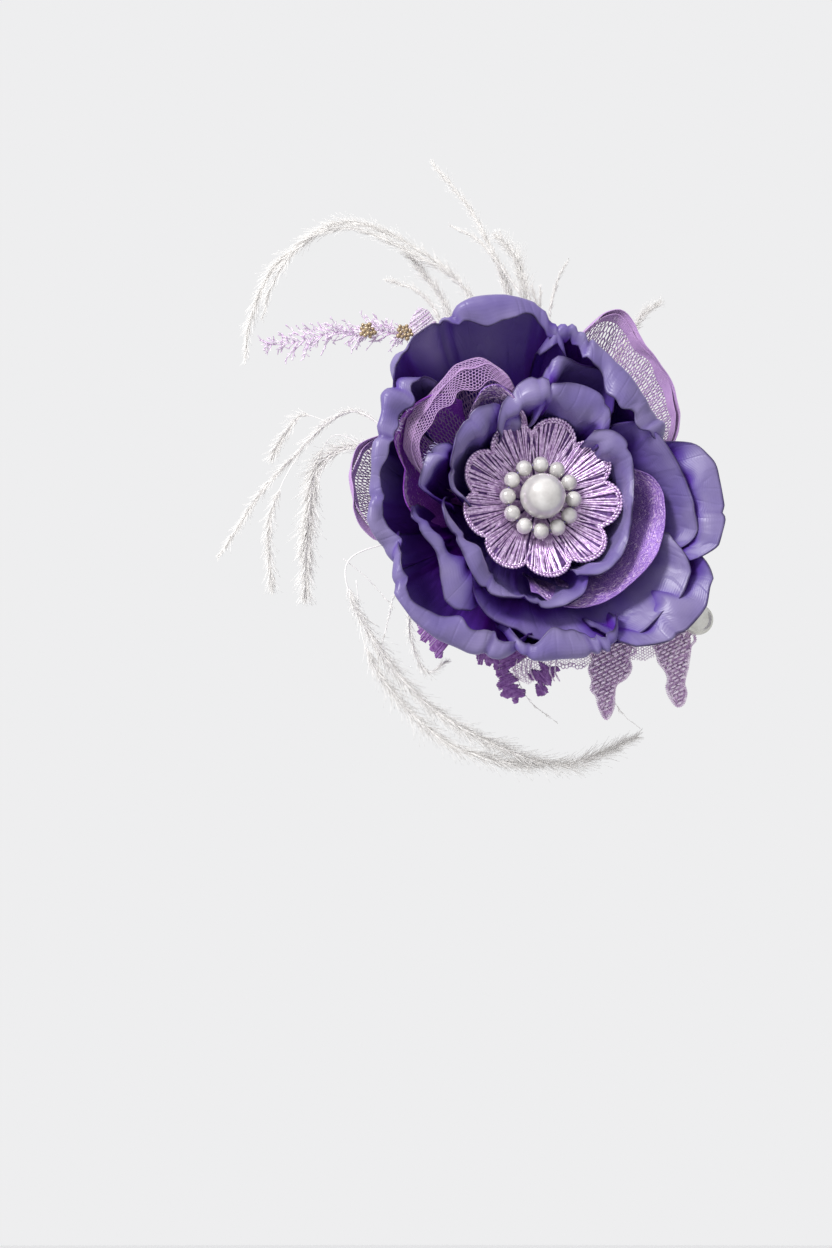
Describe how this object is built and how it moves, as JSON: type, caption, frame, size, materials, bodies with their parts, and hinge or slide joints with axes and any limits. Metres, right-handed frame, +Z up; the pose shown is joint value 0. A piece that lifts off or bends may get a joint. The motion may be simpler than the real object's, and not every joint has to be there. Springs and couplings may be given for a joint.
{
  "type": "flower fascinator headpiece",
  "caption": "Singed satin flower fascinator with net, embroidered and pearl centre, lace leaves and feather fronds on a felt base with a sprung hair clip.",
  "frame": {"origin": "centre of the felt backing's rear face, where the clip holds it to the hair", "axes": "+Z up as worn, the flower faces -Y, and +X is to the viewer's right; the felt backing's rear face looks along +Y"},
  "size_m": [0.1101, 0.037, 0.1352],
  "materials": {
    "petal_satin": "periwinkle satin, heat-curled, with thin scorched edges",
    "net": "fine lilac net with glitter",
    "metallic_thread": "metallic lilac embroidery thread",
    "sewing_thread": "matt thread",
    "pearl": "pearlescent imitation pearl",
    "lace": "silvery lilac guipure lace",
    "beige_bead": "small beige seed beads",
    "clear_bead": "translucent off-white",
    "feather": "ivory feather barbs on fine quills",
    "felt": "matt wool felt",
    "clip_steel": "plated spring steel"
  },
  "bodies": {
    "root": {"satin_outer_left": "petal_satin", "satin_outer_top": "petal_satin", "satin_outer_upper_right": "petal_satin", "satin_outer_right": "petal_satin", "satin_outer_lower_right": "petal_satin", "satin_outer_bottom": "petal_satin", "satin_outer_lower_left": "petal_satin", "satin_middle_right": "petal_satin", "satin_middle_bottom": "petal_satin", "satin_middle_left": "petal_satin", "satin_middle_upper_left": "petal_satin", "satin_middle_top": "petal_satin", "satin_inner_top": "petal_satin", "satin_inner_left": "petal_satin", "satin_inner_bottom": "petal_satin", "satin_inner_right": "petal_satin", "satin_core": "petal_satin", "net_inner_upper_left": "net", "net_inner_lower_right": "net", "net_outer_upper_right": "net", "net_outer_left": "net", "thread_flower": "metallic_thread", "centre_pearl": "pearl", "ring_pearl_01": "pearl", "ring_pearl_02": "pearl", "ring_pearl_03": "pearl", "ring_pearl_04": "pearl", "ring_pearl_05": "pearl", "ring_pearl_06": "pearl", "ring_pearl_07": "pearl", "ring_pearl_08": "pearl", "ring_pearl_09": "pearl", "ring_pearl_10": "pearl", "ring_pearl_11": "pearl", "ring_pearl_12": "pearl", "pearl_string": "sewing_thread", "lace_leaf_bottom": "lace", "lace_leaf_right": "lace", "lace_cluster_bottom": "lace", "lace_fragment_left": "lace", "lace_spray": "lace", "bead_cluster_inner": "beige_bead", "bead_cluster_outer": "beige_bead", "side_bead": "clear_bead", "feather_arch": "feather", "feather_tall": "feather", "feather_top_short": "feather", "feather_upper_left": "feather", "feather_top_right": "feather", "feather_right": "feather", "feather_lower_left": "feather", "feather_left": "feather", "feather_bottom": "feather", "felt_base": "felt", "felt_backing": "felt", "clip_fixed_jaw": "clip_steel", "clip_pivot_pin": "clip_steel", "clip_spring": "clip_steel"},
    "clip_jaw": {"clip_moving_jaw": "clip_steel"}
  },
  "joints": [
    {"name": "clip_jaw_hinge", "type": "hinge", "parent": "root", "child": "clip_jaw", "pos_m": [0.012, 0.0026, 0], "axis": [0, 0, -1], "range_deg": [0, 25], "stiffness_Nm_per_rad": 0.02, "springref_deg": -85.94, "deforming": ["clip_spring"]}
  ]
}
